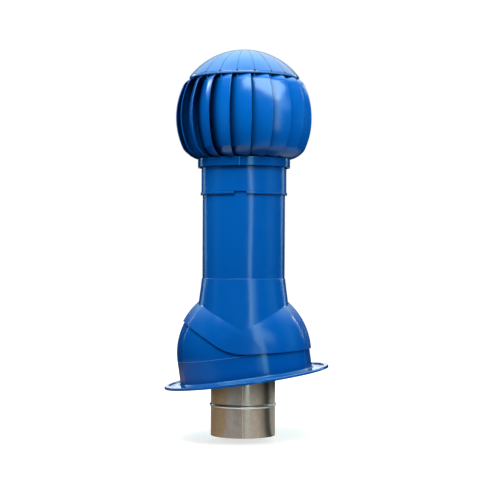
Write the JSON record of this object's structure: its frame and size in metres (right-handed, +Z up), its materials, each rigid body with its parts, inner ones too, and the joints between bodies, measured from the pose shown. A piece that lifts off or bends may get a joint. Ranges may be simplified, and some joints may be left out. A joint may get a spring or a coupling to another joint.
{
  "type": "rotating chimney cowl",
  "caption": "Insulated plastic roof vent outlet with a wind-turned vane head under a dome cap, a saddle that tilts on a flanged base, and a steel pipe below for the duct.",
  "frame": {"origin": "where the outer tube's axis meets the plane of the roof flange's underside", "axes": "+Z up along the outer tube and the rotor's axis; +X towards the higher side of the flange; the pitch axis runs along Y, above the origin"},
  "size_m": [0.3182, 0.3208, 0.7456],
  "materials": {
    "blue_plastic": "gloss",
    "galvanised_steel": "satin",
    "bright_steel": "satin",
    "foam": "matte",
    "black_plastic": "matte"
  },
  "bodies": {
    "base": {"roof_base": "blue_plastic"},
    "housing": {"outlet_housing": "blue_plastic", "inner_pipe": "galvanised_steel", "insulation_sleeve": "foam", "turbine_collar": "blue_plastic", "axle": "bright_steel", "axle_nut": "bright_steel", "axle_washer": "bright_steel", "axle_retaining_ring": "bright_steel", "lower_bearing_inner_race": "bright_steel", "upper_bearing_inner_race": "bright_steel", "bearing_spacer": "bright_steel"},
    "rotor": {"dome_cap": "blue_plastic", "vane_01": "blue_plastic", "vane_02": "blue_plastic", "vane_03": "blue_plastic", "vane_04": "blue_plastic", "vane_05": "blue_plastic", "vane_06": "blue_plastic", "vane_07": "blue_plastic", "vane_08": "blue_plastic", "vane_09": "blue_plastic", "vane_10": "blue_plastic", "vane_11": "blue_plastic", "vane_12": "blue_plastic", "vane_13": "blue_plastic", "vane_14": "blue_plastic", "vane_15": "blue_plastic", "vane_16": "blue_plastic", "vane_17": "blue_plastic", "vane_18": "blue_plastic", "vane_19": "blue_plastic", "vane_20": "blue_plastic", "rotor_ring": "blue_plastic", "lower_bearing_outer_race": "bright_steel", "upper_bearing_outer_race": "bright_steel", "lower_bearing_balls": "bright_steel", "upper_bearing_balls": "bright_steel", "hub_sleeve": "bright_steel", "hub_plug": "black_plastic"}
  },
  "joints": [
    {"name": "roof_pitch", "type": "hinge", "parent": "base", "child": "housing", "pos_m": [0, 0, 0.04847], "axis": [0, -1, 0], "range_deg": [0, 27.5]},
    {"name": "rotor_spin", "type": "hinge", "parent": "housing", "child": "rotor", "pos_m": [0, 0, 0.5], "axis": [0, 0, 1], "continuous": true}
  ]
}
